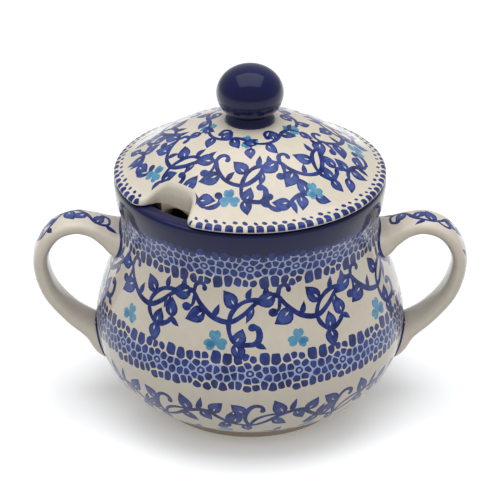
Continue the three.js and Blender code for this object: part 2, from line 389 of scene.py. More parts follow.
class Painting:
    """Flat outlines with their paints, drawn in millimetres. Later ones cover earlier ones."""

    def __init__(self, seed):
        self.random = random.Random(seed)
        self.shapes = []
        self.place(0.0, 0.0)

    def place(self, x, y, turn=0.0, scale=1.0, mirrored=False):
        """Sets where the next strokes go: an origin, a turn in degrees, a scale and a mirror."""
        self.origin = (x, y)
        self.turn = math.radians(turn)
        self.scale = scale
        self.mirror = -1.0 if mirrored else 1.0

    def local(self, x, y):
        """Where a point of the whole drawing is, as the placed strokes count it."""
        cosine, sine = math.cos(self.turn), math.sin(self.turn)
        across, up = x - self.origin[0], y - self.origin[1]
        along = (across * cosine + up * sine) / self.scale * self.mirror
        return along, (up * cosine - across * sine) / self.scale

    def shape(self, points, paint):
        """Adds one outline, moved to where the strokes go."""
        local = np.array(points, float)
        x = local[:, 0] * self.scale * self.mirror
        y = local[:, 1] * self.scale
        cosine, sine = math.cos(self.turn), math.sin(self.turn)
        across = self.origin[0] + x * cosine - y * sine
        up = self.origin[1] + x * sine + y * cosine
        self.shapes.append((np.column_stack([across, up]), paint))

    def blot(self, x, y, radius, paint, stretch=1.0, heading=0.0, sides=9):
        """A round touch of the brush."""
        lean = math.radians(heading)
        angles = np.linspace(0.0, 2.0 * math.pi, sides, endpoint=False)
        along = radius * stretch * np.cos(angles)
        across = radius * np.sin(angles)
        outline = np.column_stack(
            [
                x + along * math.cos(lean) - across * math.sin(lean),
                y + along * math.sin(lean) + across * math.cos(lean),
            ]
        )
        self.shape(outline, paint)

    def ribbon(self, samples, width, ends):
        """A brush line through (x, y, angle) samples, narrower at its ends and never quite even."""
        last = len(samples) - 1
        phase = self.random.uniform(0.0, 6.28)
        sides = []
        for number, (x, y, angle) in enumerate(samples):
            share = number / last
            swell = min(1.0, ends[0] + 5.0 * share, ends[1] + 5.0 * (1.0 - share))
            half = 0.5 * width * swell * (1.0 + 0.13 * math.sin(phase + 9.0 * share))
            dx, dy = -math.sin(angle) * half, math.cos(angle) * half
            sides.append(((x + dx, y + dy), (x - dx, y - dy)))
        for (left, right), (next_left, next_right) in zip(sides, sides[1:]):
            self.shape([left, right, next_right, next_left], COBALT)
        self.blot(samples[0][0], samples[0][1], 0.5 * width * ends[0], COBALT, sides=7)
        self.blot(samples[-1][0], samples[-1][1], 0.5 * width * ends[1], COBALT, sides=7)

    def stroke(self, start, heading, arcs, width, ends=(0.7, 0.4)):
        """A line of arcs, each (length, turn in degrees). Returns its (x, y, angle) samples."""
        x, y = start
        angle = math.radians(heading)
        samples = [(x, y, angle)]
        for length, turn in arcs:
            steps = max(2, round(length / STROKE_STEP), round(abs(turn) / 24.0))
            for _ in range(steps):
                angle += math.radians(turn) / steps / 2.0
                x += length / steps * math.cos(angle)
                y += length / steps * math.sin(angle)
                angle += math.radians(turn) / steps / 2.0
                samples.append((x, y, angle))
        self.ribbon(samples, width, ends)
        return samples

    def curl(self, start, heading, arcs, width, bud):
        """A tendril that ends in a round bud."""
        samples = self.stroke(start, heading, arcs, width, ends=(0.8, 0.9))
        x, y, angle = samples[-1]
        self.blot(x, y, bud, COBALT, stretch=1.15, heading=math.degrees(angle))
        return samples

    def leaf(self, x, y, heading, length, width):
        """A pointed leaf that grows from (x, y), paler inside, with a light slit along its middle."""
        heading += self.random.uniform(-7.0, 7.0)
        length *= self.random.uniform(0.92, 1.1)
        bend = self.random.uniform(-0.10, 0.10)
        lean = math.radians(heading)

        def at(share, side):
            along = length * share
            across = side + bend * length * math.sin(math.pi * share)
            return (
                x + along * math.cos(lean) - across * math.sin(lean),
                y + along * math.sin(lean) + across * math.cos(lean),
            )

        stations = (0.0, 0.10, 0.24, 0.42, 0.60, 0.76, 0.90, 1.0)
        fullness = (0.16, 0.60, 0.92, 1.0, 0.84, 0.56, 0.24, 0.04)
        upper = [at(s, 0.5 * width * f) for s, f in zip(stations, fullness)]
        lower = [at(s, -0.5 * width * f) for s, f in zip(stations, fullness)]
        self.shape(upper + lower[::-1], COBALT)
        if width < SLIM_LEAF:
            return
        inside = list(zip(stations, fullness))[2:6]
        upper = [at(s, 0.5 * width * f - LEAF_BORDER) for s, f in inside]
        lower = [at(s, LEAF_BORDER - 0.5 * width * f) for s, f in inside]
        self.shape(upper + lower[::-1], SOFT_COBALT)
        slit = 0.06 * width
        side = self.random.choice((-1.0, 1.0)) * 0.06 * width
        corners = [at(0.16, side), at(0.28, side + slit), at(0.44, side), at(0.28, side - slit)]
        self.shape(corners, CREAM)

    def along(self, samples, share):
        """The sample at a share of a stroke, with its heading in degrees."""
        x, y, angle = samples[round(share * (len(samples) - 1))]
        return x, y, math.degrees(angle)

    def leaves(self, samples, rows):
        """Leaves off a stroke. Each row is (share, angle off the stroke, length, width)."""
        for share, off, length, width in rows:
            x, y, heading = self.along(samples, share)
            self.leaf(x, y, heading + off, length, width)

    def clover(self, x, y, heading, size):
        """A watery flower of three notched lobes, darker where the paint pooled."""
        for off in CLOVER_LOBES:
            angle = math.radians(heading + off + self.random.uniform(-9.0, 9.0))
            across = angle + math.pi / 2.0
            for side in (-0.36, 0.36):
                middle_x = x + size * (math.cos(angle) + side * math.cos(across))
                middle_y = y + size * (math.sin(angle) + side * math.sin(across))
                self.blot(middle_x, middle_y, 0.52 * size, SKY, 1.3, math.degrees(angle))
        self.blot(x, y, 0.62 * size, SKY)
        pool = math.radians(heading + self.random.choice(CLOVER_LOBES))
        pool_x, pool_y = x + 0.8 * size * math.cos(pool), y + 0.8 * size * math.sin(pool)
        self.blot(pool_x, pool_y, 0.5 * size, DEEP_SKY, 1.3)


# One period of a vine, as shares of its period and height: a steep fall, a wide hollow, a long crest.
VINE_KNOTS = [
    (0.0, 1.0),
    (0.10, 0.60),
    (0.26, 0.15),
    (0.45, 0.0),
    (0.60, 0.28),
    (0.74, 0.72),
    (0.88, 0.97),
]
VINE_LOW = 3.0 / 7.0  # where along the samples the vine is lowest
VINE_STEPS = 5


def wave(start, period, low, height):
    """(x, y, angle) samples along one period of a vine, from crest to crest."""
    knots = [(x - 1.0, y) for x, y in VINE_KNOTS[-2:]] + VINE_KNOTS
    knots += [(x + 1.0, y) for x, y in VINE_KNOTS[:3]]
    line = smooth(knots, VINE_STEPS)
    samples = heading_samples(line * np.array([period, height]) + np.array([start, low]))
    first = 2 * VINE_STEPS
    return samples[first : first + len(VINE_KNOTS) * VINE_STEPS + 1]


def ringed(line, radius, start):
    """A flat line laid round the middle of the lid: up is towards the knob."""
    bent = []
    for x, y, angle in line:
        turn = start + x / radius
        reach = radius - y
        bent.append((reach * math.cos(turn), reach * math.sin(turn), angle + turn + math.pi / 2.0))
    return bent


# ---------------------------------------------------------------- decoration

MAIN_VINES = 10
LOWER_VINES = 10
BAND_GAP = 0.13  # half the pale line between two blots of a band
FLOWER_GAP = 0.2  # the same round a flower and its eye
BAND_PERIOD = 16.65  # distance between flowers that the list of blots is drawn for


def scroll(painting, stem, turn_at, scale, variant, drop):
    """One period of a scrolling vine, in one of two variants.

    Turn_at gives the turn of the drawing at a place, and drop stretches what hangs below the stem.
    """
    sway = painting.random.uniform(-5.0, 5.0)
    low_x, low_y, _ = painting.along(stem, VINE_LOW)
    low_turn = turn_at(low_x, low_y)
    painting.place(low_x, low_y, low_turn, scale)
    if variant:
        painting.clover(-7.2, -7.6 * drop, 80.0 + sway, 2.0)
    else:
        painting.clover(-3.9, -8.0 * drop, 95.0 + sway, 2.2)
    painting.place(0.0, 0.0)
    painting.ribbon(stem, 1.6 * scale, ends=(1.0, 1.0))
    rows = [
        (0.20, -104.0, 7.4, 5.5),
        (0.30, 96.0, 4.6, 2.1),
        (0.68, -148.0, 5.6, 2.4),
        (0.84, 58.0, 4.6, 2.2),
        (0.97, -148.0, 7.4, 5.3),
    ]
    scaled = [(share, off, length * scale, width * scale) for share, off, length, width in rows]
    painting.leaves(stem, scaled)
    end_x, end_y, _ = painting.along(stem, 0.78)
    painting.place(low_x, low_y, low_turn, scale)
    end_x, end_y = painting.local(end_x, end_y)
    corners = [(0.0, 0.0), (0.2, 4.8), (0.5 * end_x, end_y + 1.2), (end_x, end_y)]
    rising = heading_samples(bezier(corners, 14))
    painting.ribbon(rising, 1.5, ends=(0.9, 0.9))
    painting.leaves(rising, [(0.34, 78.0, 6.8, 4.9), (0.74, 62.0, 4.6, 2.1)])
    if variant:
        arcs = [(3.4 * drop, 26.0), (5.4 * drop, 34.0)]
        falling = painting.stroke((0.0, 0.0), -84.0 + sway, arcs, 1.5)
        x, y, _ = painting.along(falling, 1.0)
        painting.leaf(x - 0.6, y + 0.3, -84.0, 6.2, 4.6)
        painting.leaf(x, y, 84.0, 5.8, 4.2)
        twig = painting.stroke((x, y), 12.0, [(3.4, 20.0), (3.0, 40.0)], 1.7)
        x, y, _ = painting.along(twig, 1.0)
        painting.leaf(x, y, 96.0, 6.6, 4.7)
        painting.leaf(x, y, -38.0, 3.6, 1.9)
    else:
        arcs = [(3.2 * drop, 14.0), (6.4 * drop, 42.0)]
        falling = painting.stroke((0.0, 0.0), -96.0 + sway, arcs, 1.5)
        x, y, _ = painting.along(falling, 1.0)
        painting.leaf(x - 0.4, y + 0.3, -72.0, 5.9, 4.4)
        painting.leaf(x - 0.4, y, 68.0, 5.8, 4.4)
        arcs = [(4.6, 8.0), (2.6, 62.0), (3.4, 48.0), (2.2, 84.0)]
        hook = painting.curl((x, y), -4.0, arcs, 1.9, bud=1.3)
        painting.leaves(hook, [(0.40, -52.0, 3.8, 2.0)])
    x, y, _ = painting.along(stem, 0.03)
    painting.place(x, y, turn_at(x, y), scale)
    painting.curl((0.0, 0.0), -84.0, [(3.2, -14.0), (3.0, -88.0)], 1.2, bud=1.45)
    painting.curl((-0.2, 0.0), 92.0, [(2.2, -14.0), (2.8, -84.0), (2.2, -84.0)], 1.5, bud=0.95)


def upright(x, y):
    """The drawing stands upright everywhere round the pot."""
    return 0.0


def main_vine(painting, period):
    """The scrolling vine round the shoulder, between the two bands."""
    for number in range(MAIN_VINES):
        stem = wave(number * period, period, 12.4, 8.8)
        scroll(painting, stem, upright, 1.05, number % 2 == 1, drop=0.82)


def lower_vine(painting, period):
    """The flatter, leafier vine between the belly band and the foot."""
    for number in range(LOWER_VINES):
        painting.place(number * period, painting.random.uniform(-0.4, 0.4))
        stem = wave(0.0, period, 14.6, 7.8)
        painting.clover(0.14 * period, 10.0, 95.0, 2.0)
        painting.ribbon(stem, 1.5, ends=(1.0, 1.0))
        painting.leaves(
            stem,
            [
                (0.06, 106.0, 7.0, 4.8),
                (0.22, 98.0, 6.6, 2.2),
                (0.30, 86.0, 7.4, 5.0),
                (0.26, -118.0, 6.6, 4.4),
                (0.36, -62.0, 6.0, 4.0),
                (0.66, -74.0, 6.6, 4.2),
                (0.76, 84.0, 7.4, 5.0),
                (0.86, 60.0, 6.4, 2.2),
                (0.90, -70.0, 6.4, 4.4),
            ],
        )
        x, y, _ = painting.along(stem, VINE_LOW)
        end_x, end_y, _ = painting.along(stem, 0.78)
        corners = [(x, y), (x + 0.4, y + 5.0), (end_x - 5.6, end_y + 1.0), (end_x, end_y)]
        painting.ribbon(heading_samples(bezier(corners, 12)), 1.3, ends=(0.9, 0.9))
        arcs = [(6.0, -46.0), (5.0, -30.0), (3.6, -74.0), (2.8, -92.0)]
        curl = painting.curl((x, y), 132.0, arcs, 1.6, bud=1.0)
        painting.leaves(curl, [(0.40, 62.0, 6.6, 4.8)])
        low = painting.stroke((0.60 * period, 7.6), -14.0, [(5.0, 26.0), (4.0, -30.0)], 1.2)
        painting.leaves(low, [(0.3, -52.0, 4.8, 2.8), (0.55, 50.0, 4.8, 2.8), (1.0, 4.0, 4.6, 2.6)])


def clipped(polygon, point, normal):
    """The part of a convex outline that lies behind a line through the point."""
    kept = []
    for here, there in zip(polygon, polygon[1:] + polygon[:1]):
        side = (here[0] - point[0]) * normal[0] + (here[1] - point[1]) * normal[1]
        other = (there[0] - point[0]) * normal[0] + (there[1] - point[1]) * normal[1]
        if side <= 0.0:
            kept.append(here)
        if side * other < 0.0:
            share = side / (side - other)
            kept.append((here[0] + share * (there[0] - here[0]), here[1] + share * (there[1] - here[1])))
    return kept


def blunted(polygon, cut):
    """The outline with a share of its sides cut off at each corner."""
    points = []
    for here, there in zip(polygon, polygon[1:] + polygon[:1]):
        points.append((here[0] + cut * (there[0] - here[0]), here[1] + cut * (there[1] - here[1])))
        points.append((there[0] + cut * (here[0] - there[0]), there[1] + cut * (here[1] - there[1])))
    return points


def uneven(polygon, middle, draw):
    """The outline with some of its corners drawn a little towards its middle."""
    moved = []
    for x, y in polygon:
        share = draw.uniform(0.0, 0.12)
        moved.append((x + share * (middle[0] - x), y + share * (middle[1] - y)))
    return moved


# The blots round a band's flower: the place from the flower's middle, and how far the blot may reach.
BAND_BLOTS = [
    (-1.5, 5.2, 1.7),
    (1.2, 5.0, 1.6),
    (4.8, 4.2, 3.3),
    (9.2, 4.0, 3.4),
    (12.9, 4.7, 2.1),
    (5.2, 0.9, 1.8),
    (8.1, 0.9, 1.9),
    (10.9, 1.6, 1.9),
    (6.3, -1.6, 1.9),
    (9.1, -1.6, 1.8),
    (11.6, -1.4, 1.8),
    (-3.9, -4.0, 2.1),
    (-1.0, -5.3, 1.8),
    (1.9, -5.0, 1.8),
    (4.6, -4.4, 2.1),
    (7.8, -4.6, 2.1),
    (10.5, -4.2, 1.9),
]
BELLY_BAND = dict(count=20, radius=53.0, middle=5.2, blots=BAND_BLOTS, flip=1.0)
NECK_BAND = dict(count=18, radius=44.6, middle=5.6, blots=BAND_BLOTS, flip=-1.0)
PETALS = 7
NECK_WASH = (68.6, 76.3)  # heights of the pale blue wash under a band, from and to
BELLY_WASH = (33.4, 39.4)
BARE_FOOT = 4.7  # height of the unglazed foot
LIP_POINTS = 8  # points of the inside's outline that the collar's dark glaze runs over


def flower_seeds(band, number, stretch):
    """Middles of one flower's parts and of the blots round it, each with its greatest radius."""
    local = random.Random(7000 + number % band["count"])
    twist = local.uniform(0.0, 50.0)
    seeds = [(0.0, 0.0, 2.1)]
    for petal in range(PETALS):
        angle = math.radians(twist + 360.0 * petal / PETALS + local.uniform(-5.0, 5.0))
        seeds.append((3.35 * math.cos(angle), 3.1 * math.sin(angle), 1.55))
    for x, y, size in band["blots"]:
        x += local.uniform(-0.3, 0.3)
        y += local.uniform(-0.4, 0.4)
        seeds.append((x * stretch, y * band["flip"], size))
    return seeds


def flower_band(painting, band):
    """A band of ringed flowers among leaf blots, with thin pale lines between them."""
    count = band["count"]
    period = 2.0 * math.pi * band["radius"] / count
    stretch = period / BAND_PERIOD
    in_flower = PETALS + 1
    local = random.Random(count)
    for number in range(count):
        painting.place(number * period, band["middle"])
        own = flower_seeds(band, number, stretch)
        others = list(own)
        for side in (-1, 1):
            beyond = flower_seeds(band, number + side + count, stretch)
            others += [(x + side * period, y, size) for x, y, size in beyond]
        for order, (x, y, size) in enumerate(own):
            cell = [tuple(point) for point in arc((x, y), size, 0.0, 324.0, steps=9)]
            for other, (other_x, other_y, _) in enumerate(others):
                apart = math.hypot(other_x - x, other_y - y)
                if 0.01 < apart < 2.0 * size + 0.6 and len(cell) > 2:
                    normal = ((other_x - x) / apart, (other_y - y) / apart)
                    crossing = (order < in_flower) != (other % len(own) < in_flower)
                    edge = 0.5 * apart - (FLOWER_GAP if crossing or order == 0 else BAND_GAP)
                    border = (x + normal[0] * edge, y + normal[1] * edge)
                    cell = clipped(cell, border, normal)
            if len(cell) > 2:
                cell = uneven(cell, (x, y), local)
                painting.shape(blunted(blunted(cell, 0.22), 0.27), COBALT)
            if order == 0:
                painting.blot(x, y, 0.62, WASH, sides=6)


def wrapped(pot, painting, along, radius, start):
    """The painting's outlines on the pot's chart: its x goes round at a radius and its y goes up."""
    shapes = []
    for outline, paint in painting.shapes:
        turns = start + outline[:, 0] / radius
        shapes.append((pot.chart(turns, along + outline[:, 1]), paint))
    return shapes


def wavering(pot, turns, along, sway, seed):
    """A hand-drawn line round the pot."""
    draw = random.Random(seed)
    drift = np.zeros(len(turns))
    for beats in (3, 7, 16, 29):
        drift += np.sin(beats * turns + draw.uniform(0.0, 6.28)) * sway / math.sqrt(beats)
    return pot.chart(turns, along + drift)


# ---------------------------------------------------------------- bowl


def pot_outline():
    """The whole outside, from the foot's rest face to the top of the collar."""
    foot = arc((REST_OUTER_RADIUS - FOOT_EDGE, FOOT_EDGE), FOOT_EDGE, -90.0, -20.0)
    top = arc((COLLAR_RADIUS - COLLAR_ROUNDING, COLLAR_TOP - COLLAR_ROUNDING), COLLAR_ROUNDING, 0.0, 90.0)
    return np.vstack([foot, smooth(POT_OUTSIDE), top])


def pot_inside():
    """The inside, from the top of the collar down the wall to the middle of the floor."""
    lip = arc((MOUTH_RADIUS + MOUTH_ROUNDING, COLLAR_TOP - MOUTH_ROUNDING), MOUTH_ROUNDING, 90.0, 180.0)
    wall = beside(smooth(POT_OUTSIDE[:7], 3), -WALL)[::-1]
    wall = wall[(wall[:, 1] > FLOOR_HEIGHT + 2.5)]
    neck = [(MOUTH_RADIUS, 80.0), (MOUTH_RADIUS, 75.0), (MOUTH_RADIUS, 70.0), (MOUTH_RADIUS + 0.1, 65.5)]
    bottom = [
        (FLOOR_RADIUS + 4.0, FLOOR_HEIGHT + 0.7),
        (FLOOR_RADIUS, FLOOR_HEIGHT),
        (14.0, FLOOR_HEIGHT - 0.1),
        (0.0, FLOOR_HEIGHT),
    ]
    return np.vstack([lip, neck, wall, bottom])


def pot_underside():
    """The rest face and the recess inside the foot ring, up to the axis."""
    return [
        (REST_INNER_RADIUS + 0.7, 0.0),
        (REST_INNER_RADIUS + 0.1, 0.2),
        (REST_INNER_RADIUS - 0.3, 0.8),
        (REST_INNER_RADIUS - 0.7, FOOT_RECESS - 0.3),
        (REST_INNER_RADIUS - 1.6, FOOT_RECESS),
        (16.0, FOOT_RECESS + 0.1),
        (0.0, FOOT_RECESS + 0.1),
    ]


def pot_decoration(pot):
    """The two vines and the two flower bands, each from its lowest height up and from the back round."""
    back = math.radians(90.0)
    main_radius, lower_radius = 48.0, 51.0
    main = Painting(11)
    main_vine(main, 2.0 * math.pi * main_radius / MAIN_VINES)
    lower = Painting(12)
    lower_vine(lower, 2.0 * math.pi * lower_radius / LOWER_VINES)
    belly = Painting(13)
    flower_band(belly, BELLY_BAND)
    neck = Painting(14)
    flower_band(neck, NECK_BAND)
    return (
        wrapped(pot, neck, pot.height(66.0), NECK_BAND["radius"], back)
        + wrapped(pot, main, pot.height(41.7), main_radius, back + 0.2)
        + wrapped(pot, belly, pot.height(31.6), BELLY_BAND["radius"], back)
        + wrapped(pot, lower, pot.height(4.2), lower_radius, back + 0.35)
    )


def root_outlines(pot):
    """A dark brush line on the pot round each end of each handle."""
    sides = np.linspace(0.0, 2.0 * math.pi, 28, endpoint=False)
    shapes = []
    for first, last in ((0.02, 0.40), (0.98, 0.60)):
        marks = []
        for side in sides:
            shares = np.linspace(first, last, 120)
            line = strap_point(shares, np.full(120, side))
            skin = np.interp(line[:, 2], pot.outline[:, 1], pot.outline[:, 0])
            outside = np.hypot(line[:, 0], line[:, 1]) > skin
            meeting = line[int(np.argmax(outside))]
            marks.append((math.atan2(meeting[1], meeting[0]), pot.height(meeting[2])))
        marks = np.array(marks)
        middle = marks.mean(axis=0)
        radius = float(np.interp(middle[1], pot.along, pot.outline[:, 0]))
        flat = (marks - middle) * np.array([radius, 1.0])
        outward = flat / np.linalg.norm(flat, axis=1)[:, None]
        waver = 0.16 * np.sin(3.0 * sides + 1.0) + 0.1 * np.sin(7.0 * sides)
        for side_turn in (0.0, math.pi):
            for offset, paint in ((ROOT_LINE + waver, COBALT), (0.0 * sides + 0.1, CREAM)):
                moved = flat + outward * offset[:, None]
                turns = middle[0] + moved[:, 0] / radius + side_turn
                shapes.append((pot.chart(turns, middle[1] + moved[:, 1]), paint))
    return shapes


def bowl_body(materials):
    """The pot: its painted outside, then the lip and the inside, and the foot's underside."""
    pot = Turned(pot_outline())
    turns = np.linspace(0.0, 2.0 * math.pi, RING_STEPS, endpoint=False)
    top = pot.along[-1]
    shapes = [
        (pot.ring(turns, top), COLLAR),
        (wavering(pot, turns, pot.height(NECK_WASH[1]), 0.16, 1), WASH),
        (pot.ring(turns, pot.height(NECK_WASH[0])), CREAM),
        (pot.ring(turns, pot.height(BELLY_WASH[1])), WASH),
        (pot.ring(turns, pot.height(BELLY_WASH[0])), CREAM),
        (wavering(pot, turns, pot.height(BARE_FOOT), 0.22, 2), CLAY),
    ]
    shapes += pot_decoration(pot)
    shapes += root_outlines(pot)
    shapes.append((pot.ring(turns, 0.0), None))
    loose = []
    rows = round(top / GRID)
    for row in range(1, rows):
        shift = math.pi / RING_STEPS * (row % 2)
        loose.extend(pot.ring(turns + shift, top * row / rows))
    flat, triangles, paints = painted(shapes, loose)
    surface = Surface()
    surface.add(*pot.surface(flat))
    surface.faces = list(triangles)
    surface.paints = list(paints)
    loops = sorted(edge_loops(triangles, paints), key=lambda found: surface.points[found[0][0]][2])
    foot, rim = loops[0][0], loops[1][0]
    inside = pot_inside()
    lip = surface.lathe(rim, inside[:LIP_POINTS], surface.turns(rim), COLLAR)
    surface.lathe(lip, inside[LIP_POINTS:], surface.turns(lip), CREAM)
    surface.lathe(foot, pot_underside(), surface.turns(foot), CLAY)
    return surface.piece("painted_bowl", materials)


# ---------------------------------------------------------------- lid


def notch_side():
    """Half of the lid's outline seen from above, from the notch's middle round to the back.

    Points are (distance from the axis towards the notch, distance to one side).
    """
    back = bezier([(NOTCH_BACK, 3.8), (NOTCH_BACK, 6.9), (NOTCH_THROAT, 8.3)], 24)
    side = bezier([(NOTCH_THROAT, 8.3), (42.4, 9.6), (43.6, 9.6), (49.5, 12.4)], 48)
    side = side[np.hypot(side[:, 0], side[:, 1]) < LID_RADIUS - 3.0]
    bay = np.vstack([[(NOTCH_BACK, 0.0)], back, side[1:]])
    arch = ARCH_RADIUS * np.sin(np.radians(np.linspace(0.0, 90.0, 13)))
    beyond = np.linspace(ARCH_RADIUS, side[-1, 1], 20)[1:]
    across = np.concatenate([arch, beyond])
    bay = np.column_stack([np.interp(across, bay[:, 1], bay[:, 0]), across])
    corner_angle = math.atan2(11.2, math.sqrt(LID_RADIUS**2 - 11.2**2))
    rim_angle = corner_angle + math.radians(4.2)
    corner = (LID_RADIUS * math.cos(corner_angle), LID_RADIUS * math.sin(corner_angle))
    rim_start = (LID_RADIUS * math.cos(rim_angle), LID_RADIUS * math.sin(rim_angle))
    turn = bezier([bay[-1], corner, rim_start], 8)
    rim = arc((0.0, 0.0), LID_RADIUS, math.degrees(rim_angle), 180.0, steps=64)
    return np.vstack([bay, turn[1:], rim[1:]])


def lid_outline():
    """The lid's outline from above, its outward directions and how far points lie beside the notch."""
    half = notch_side()
    mirrored = half[1:-1][::-1] * np.array([1.0, -1.0])
    local = np.vstack([half, mirrored])
    cosine, sine = math.cos(NOTCH_AZIMUTH), math.sin(NOTCH_AZIMUTH)
    x = local[:, 0] * cosine - local[:, 1] * sine
    y = local[:, 0] * sine + local[:, 1] * cosine
    turned = np.column_stack([x, y])
    ahead = np.roll(turned, -1, axis=0) - np.roll(turned, 1, axis=0)
    ahead /= np.linalg.norm(ahead, axis=1)[:, None]
    return turned, np.column_stack([ahead[:, 1], -ahead[:, 0]]), local[:, 1]


DOME = smooth(DOME_OUTSIDE, 10)[::-1]
DOME_SLOPE = np.gradient(DOME[:, 1], DOME[:, 0] + np.arange(len(DOME)) * 1e-9)
DOME_ALONG = np.concatenate([[0.0], np.cumsum(np.linalg.norm(np.diff(DOME, axis=0), axis=1))])


def dome_height(flat):
    """Heights of the dome over points of its plan."""
    return np.interp(np.hypot(flat[:, 0], flat[:, 1]), DOME[:, 0], DOME[:, 1])


def dome_normals(flat):
    """Outward normals of the dome over points of its plan."""
    radius = np.maximum(np.hypot(flat[:, 0], flat[:, 1]), 1e-6)
    slope = np.interp(radius, DOME[:, 0], DOME_SLOPE)
    x = -slope * flat[:, 0] / radius
    y = -slope * flat[:, 1] / radius
    normals = np.column_stack([x, y, np.ones(len(flat))])
    return normals / np.linalg.norm(normals, axis=1)[:, None]


def lid_rings():
    """Matching rings of points, from the dome's edge round the rim and the flange to the underside."""
    outline, outward, across = lid_outline()
    reach = np.hypot(outline[:, 0], outline[:, 1])
    edge = LID_EDGE + 0.5 * np.clip((LID_RADIUS - reach) / 2.0, 0.0, 1.0)
    rings = []
    for angle in (0.0, 22.0, 45.0, 67.0, 90.0):
        lean = math.radians(angle)
        inward = edge * (1.0 - math.sin(lean))
        plan = outline - outward * inward[:, None]
        rings.append(np.column_stack([plan, dome_height(plan) - edge * (1.0 - math.cos(lean))]))
    on_rim = np.clip((reach - FLANGE_OUTER) / 1.5, 0.0, 1.0)
    for inward, rise in ((0.0, 1.0), (0.3, 0.3), (1.0, 0.0)):
        plan = outline - outward * (inward * LID_FOOT_EDGE * on_rim)[:, None]
        height = np.full(len(plan), LID_SEAT + rise * LID_FOOT_EDGE)
        rings.append(np.column_stack([plan, height]))
    flange = outline * (np.minimum(reach, FLANGE_OUTER) / reach)[:, None]
    arch = np.sqrt(np.maximum(ARCH_RADIUS**2 - across**2, 0.0)) * (reach < LID_RADIUS - 5.0)
    bottom = FLANGE_BOTTOM + np.minimum(arch, LID_SEAT - FLANGE_BOTTOM - 0.6)
    direction = outline / reach[:, None]
    radius = np.minimum(reach, FLANGE_OUTER)
    rings.append(np.column_stack([flange, np.full(len(flange), LID_SEAT)]))
    soft = FLANGE_EDGE * np.clip((LID_SEAT - bottom) / 4.0, 0.2, 1.0)
    for inward, rise in ((0.0, 1.0), (0.3, 0.3), (1.0, 0.0)):
        plan = direction * (radius - inward * soft)[:, None]
        rings.append(np.column_stack([plan, bottom + rise * soft]))
    for inward, rise in ((1.0, 0.0), (0.3, 0.3), (0.0, 1.0)):
        plan = direction * (FLANGE_INNER + inward * soft)[:, None]
        rings.append(np.column_stack([plan, bottom + rise * soft]))
    return rings


def lid_underside():
    """The inside of the dome from the flange to the axis."""
    hollow = beside(smooth(DOME_OUTSIDE[2:8], 3), -WALL)
    hollow = hollow[(hollow[:, 0] < FLANGE_INNER - 1.4)]
    start = [(FLANGE_INNER, 86.6), (FLANGE_INNER - 0.3, 88.2)]
    return np.vstack([start, hollow, [(5.0, LID_CEILING), (0.0, LID_CEILING)]])


EDGE_RINGS = 4  # rings over the rounded edge, which the dabs run over
RIM_RINGS = 7  # rings down to the bare seat
RIM_DABS = 84
LID_SCROLLS = 7
LID_SPRIGS = 5
LID_PATTERN_START = math.radians(-118.0)
LID_SCROLL_REACH = 29.5  # distance of the scrolls from the axis, measured over the dome


def rim_dabs(painting):
    """Small slanted brush dabs in a close row over the lid's edge, with a row of finer ones inside it."""
    edge = DOME_ALONG[-1]
    draw = painting.random
    for number in range(RIM_DABS):
        turn = 360.0 * (number + draw.uniform(-0.1, 0.1)) / RIM_DABS
        painting.place(0.0, 0.0, turn=turn)
        size = 1.0 + draw.uniform(-0.1, 0.12)
        reach = edge - 2.2 + draw.uniform(-0.15, 0.15)
        painting.blot(reach, 0.0, size, COBALT, 1.45, draw.uniform(66.0, 88.0))
        painting.place(0.0, 0.0, turn=turn + 180.0 / RIM_DABS)
        size = 0.62 + draw.uniform(-0.14, 0.16)
        reach = edge - 4.1 + draw.uniform(-0.3, 0.3)
        painting.blot(reach, 0.0, size, COBALT, 1.5, draw.uniform(48.0, 84.0))


def at_turn(turn, reach):
    """The place on the lid's drawing at a turn in degrees and a distance from its middle."""
    return reach * math.cos(math.radians(turn)), reach * math.sin(math.radians(turn))


def inner_sprig(painting, turn, reach):
    """A leafy sprig with a curl and a clover, beside the knob."""
    painting.place(*at_turn(turn, reach), turn + 90.0, 0.9)
    painting.clover(8.6, 3.4, 20.0, 2.1)
    arcs = [(6.0, 46.0), (6.0, 40.0), (6.0, -50.0), (4.0, -40.0)]
    stem = painting.stroke((-9.0, 2.6), -48.0, arcs, 1.4)
    painting.leaves(
        stem,
        [
            (0.00, -176.0, 5.4, 3.4),
            (0.20, -66.0, 6.2, 4.4),
            (0.36, 62.0, 5.6, 4.0),
            (0.56, -64.0, 6.4, 4.4),
            (0.80, 58.0, 4.8, 2.0),
            (1.00, -10.0, 6.2, 4.3),
        ],
    )
    x, y, heading = painting.along(stem, 0.50)
    painting.curl((x, y), heading + 58.0, [(3.8, 44.0), (3.4, 92.0), (2.2, 70.0)], 1.3, bud=1.1)


def outer_sprig(painting, turn, reach, mirrored):
    """A short sprig with a hook, which fills the lid's edge between two scrolls."""
    painting.place(*at_turn(turn, reach), turn + 90.0, 1.12, mirrored)
    stem = painting.stroke((-7.6, 0.4), 34.0, [(4.6, -44.0), (5.0, -34.0), (4.6, 50.0)], 1.45)
    painting.leaves(
        stem,
        [
            (0.00, 170.0, 6.2, 3.8),
            (0.20, 66.0, 6.2, 4.4),
            (0.36, -70.0, 5.8, 4.2),
            (0.60, -58.0, 4.4, 2.1),
            (0.66, 58.0, 6.0, 4.3),
        ],
    )
    x, y, heading = painting.along(stem, 1.0)
    painting.curl((x, y), heading + 10.0, [(2.8, 30.0), (2.8, 66.0), (1.6, 60.0)], 1.6, bud=1.2)


def towards_knob(x, y):
    """The lid's drawing stands with its top towards the knob."""
    return math.degrees(math.atan2(y, x)) + 90.0


